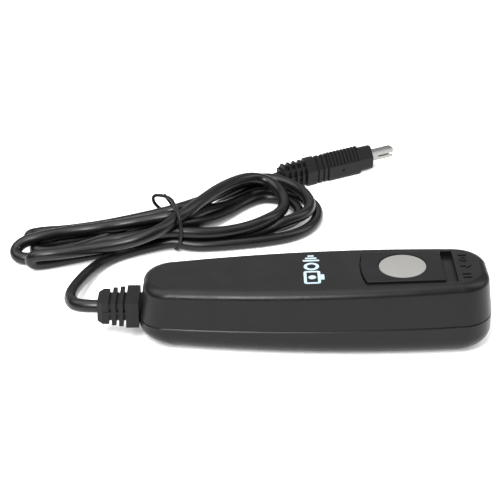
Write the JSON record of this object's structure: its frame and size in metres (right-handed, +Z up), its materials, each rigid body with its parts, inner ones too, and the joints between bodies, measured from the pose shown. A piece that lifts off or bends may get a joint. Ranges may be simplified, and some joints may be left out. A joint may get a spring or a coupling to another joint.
{
  "type": "cable shutter release",
  "caption": "Wired hand-held remote shutter release: tapered grip with a push button on a lock slide, a cord tied in a hank and a camera plug.",
  "frame": {"origin": "bottom centre of the grip housing, on the surface it lies on, without the cord and plug", "axes": "+X along the grip towards the button end, +Y away from the viewer's side, +Z up out of the button face"},
  "size_m": [0.1596, 0.1476, 0.0249],
  "materials": {
    "cover_plastic": "charcoal, fine satin mould texture",
    "slide_plastic": "charcoal, fine satin mould texture",
    "button_silver": "satin silver paint",
    "screw_steel": "zinc plated",
    "spring_steel": "bright",
    "block_plastic": "moulded",
    "leaf_bronze": "phosphor bronze, satin",
    "solder": "solder, bright",
    "wire_red": "PVC",
    "wire_white": "PVC",
    "wire_yellow": "PVC",
    "relief_pvc": "soft PVC, satin",
    "cord_pvc": "soft PVC, satin gloss",
    "tie_plastic": "plastic-coated wire",
    "plug_plastic": "moulded PVC, satin",
    "plug_metal": "nickel plated",
    "insulator": "moulded",
    "contact_gold": "gold plated"
  },
  "bodies": {
    "housing": {"top_cover": "cover_plastic", "bottom_cover": "cover_plastic", "case_screws": "screw_steel", "contact_base": "block_plastic", "shutter_contact_leaf": "leaf_bronze", "lower_spacer": "block_plastic", "focus_terminal": "leaf_bronze", "upper_spacer": "block_plastic", "common_terminal": "leaf_bronze", "clamp_bar": "spring_steel", "stack_screws": "screw_steel", "cord_clamp": "block_plastic", "clamp_screws": "screw_steel", "solder_joints": "solder", "wire_common": "wire_red", "wire_focus": "wire_white", "wire_shutter": "wire_yellow", "strain_relief": "relief_pvc", "cord_entry": "cord_pvc", "cord_lead": "cord_pvc", "cord_hank": "cord_pvc", "cord_tail": "cord_pvc", "twist_tie": "tie_plastic", "plug_boot": "relief_pvc", "plug_grip": "plug_plastic", "plug_collar": "plug_plastic", "plug_shell": "plug_metal", "plug_insulator": "insulator", "plug_contacts": "contact_gold"},
    "slider": {"slide_plate": "slide_plastic", "slide_retainer": "spring_steel", "retainer_screws": "screw_steel", "button_spring": "spring_steel"},
    "button": {"shutter_button": "button_silver"},
    "common_leaf": {"common_contact_leaf": "leaf_bronze"},
    "focus_leaf": {"focus_contact_leaf": "leaf_bronze"}
  },
  "joints": [
    {"name": "lock_slide", "type": "slide", "parent": "housing", "child": "slider", "axis": [0.9992, 0, 0.0391], "range_m": [0, 0.0035]},
    {"name": "button_press", "type": "slide", "parent": "slider", "child": "button", "axis": [0.0391, 0, -0.9992], "range_m": [0, 0.002], "stiffness_N_per_m": 900, "deforming": ["button_spring"]},
    {"name": "common_leaf_flex", "type": "hinge", "parent": "housing", "child": "common_leaf", "pos_m": [0.01346, 0, 0.01412], "axis": [0, 1, 0], "range_deg": [0, 8.5]},
    {"name": "focus_leaf_flex", "type": "hinge", "parent": "housing", "child": "focus_leaf", "pos_m": [0.01354, 0, 0.01227], "axis": [0, 1, 0], "range_deg": [0, 4.4]}
  ],
  "couplings": [
    {"joint": "common_leaf_flex", "follows": "button_press", "rad_per_m": 71.4},
    {"joint": "focus_leaf_flex", "follows": "button_press", "rad_per_m": 35.7}
  ]
}
